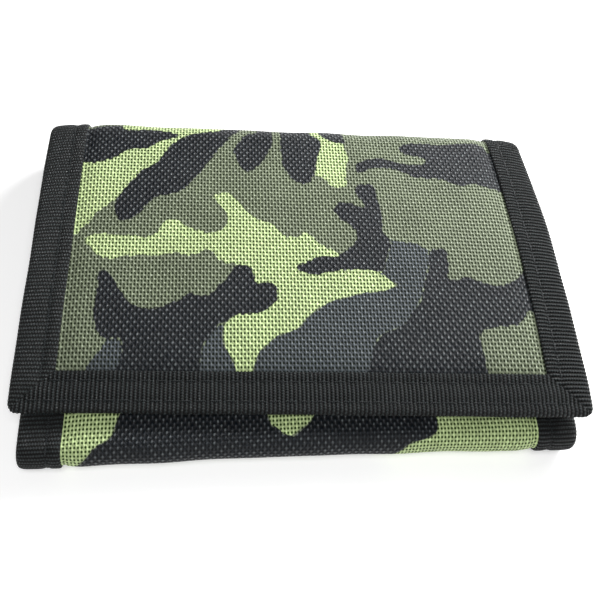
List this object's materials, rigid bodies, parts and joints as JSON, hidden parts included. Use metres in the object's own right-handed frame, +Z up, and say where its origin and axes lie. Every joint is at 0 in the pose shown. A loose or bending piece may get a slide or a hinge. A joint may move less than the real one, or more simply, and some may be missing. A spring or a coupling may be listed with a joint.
{
  "type": "trifold wallet",
  "caption": "Closed trifold wallet of woven camouflage cloth with ribbed edge tape, a hook-and-loop flap, zipped coin pocket, card slots and window pocket.",
  "frame": {"origin": "under the middle of the closed wallet, on the surface that it lies on", "axes": "+X runs along the folds, +Y towards the top fold, +Z up, out of the flap"},
  "size_m": [0.127, 0.089, 0.0143],
  "materials": {
    "camouflage_cloth": "coarse plain-woven polyester, printed in dark, olive-grey and pale green patches",
    "lining_cloth": "thin plain-woven nylon, matt",
    "pocket_cloth": "thin plain-woven nylon, matt",
    "edge_tape": "ribbed woven tape, matt with a slight sheen",
    "hook": "field of small nylon hooks",
    "loop": "napped nylon loops",
    "clear_vinyl": "clear soft vinyl sheet",
    "zip_tape": "woven zip tape",
    "zip_coil": "nylon coil",
    "zip_metal": "nickel-plated, worn"
  },
  "bodies": {
    "back": {"back_shell": "camouflage_cloth", "back_lining": "lining_cloth", "back_binding_left": "edge_tape", "back_binding_right": "edge_tape", "back_mouth_tape": "edge_tape", "window_pocket_frame": "pocket_cloth", "window_pane": "clear_vinyl"},
    "top_spine": {"top_spine_shell": "camouflage_cloth", "top_spine_lining": "lining_cloth", "top_spine_binding_left": "edge_tape", "top_spine_binding_right": "edge_tape", "top_spine_mouth_tape": "edge_tape"},
    "flap": {"flap_shell": "camouflage_cloth", "flap_lining": "lining_cloth", "flap_binding_left": "edge_tape", "flap_binding_right": "edge_tape", "flap_binding_front": "edge_tape", "flap_mouth_tape": "edge_tape", "hook_strip": "hook"},
    "bottom_spine": {"bottom_spine_shell": "camouflage_cloth", "bottom_spine_lining": "lining_cloth", "bottom_spine_binding_left": "edge_tape", "bottom_spine_binding_right": "edge_tape", "bottom_spine_mouth_tape": "edge_tape"},
    "inner": {"inner_shell": "camouflage_cloth", "inner_lining": "lining_cloth", "inner_binding_left": "edge_tape", "inner_binding_right": "edge_tape", "inner_binding_end": "edge_tape", "inner_mouth_tape": "edge_tape", "loop_strip": "loop", "coin_bag": "lining_cloth", "zip_tape_front": "zip_tape", "zip_tape_back": "zip_tape", "zip_coils": "zip_coil", "zip_stops": "zip_metal", "card_slot_1": "pocket_cloth", "card_slot_2": "pocket_cloth", "card_slot_3": "pocket_cloth", "card_slot_tape_1": "edge_tape", "card_slot_tape_2": "edge_tape", "card_slot_tape_3": "edge_tape"},
    "slider": {"zip_slider": "zip_metal"},
    "pull": {"zip_pull": "zip_metal"}
  },
  "joints": [
    {"name": "top_fold_lower", "type": "hinge", "parent": "back", "child": "top_spine", "pos_m": [0, 0.04238, 0.00212], "axis": [-1, 0, 0], "range_deg": [0, 90]},
    {"name": "top_fold_upper", "type": "hinge", "parent": "top_spine", "child": "flap", "pos_m": [0, 0.04238, 0.01238], "axis": [-1, 0, 0], "range_deg": [0, 90]},
    {"name": "bottom_fold_lower", "type": "hinge", "parent": "back", "child": "bottom_spine", "pos_m": [0, -0.04326, 0.00125], "axis": [1, 0, 0], "range_deg": [0, 45]},
    {"name": "bottom_fold_upper", "type": "hinge", "parent": "bottom_spine", "child": "inner", "pos_m": [0, -0.04326, 0.00726], "axis": [1, 0, 0], "range_deg": [0, 45]},
    {"name": "slider_run", "type": "slide", "parent": "inner", "child": "slider", "axis": [1, 0, 0], "range_m": [-0.078, 0]},
    {"name": "pull_hinge", "type": "hinge", "parent": "slider", "child": "pull", "pos_m": [0.04, 0.005, 0.0099], "axis": [0, 1, 0], "range_deg": [0, 5]}
  ],
  "couplings": [
    {"joint": "top_fold_upper", "follows": "top_fold_lower", "ratio": 1},
    {"joint": "bottom_fold_lower", "follows": "top_fold_lower", "ratio": 0.5},
    {"joint": "bottom_fold_upper", "follows": "top_fold_lower", "ratio": 0.5}
  ]
}
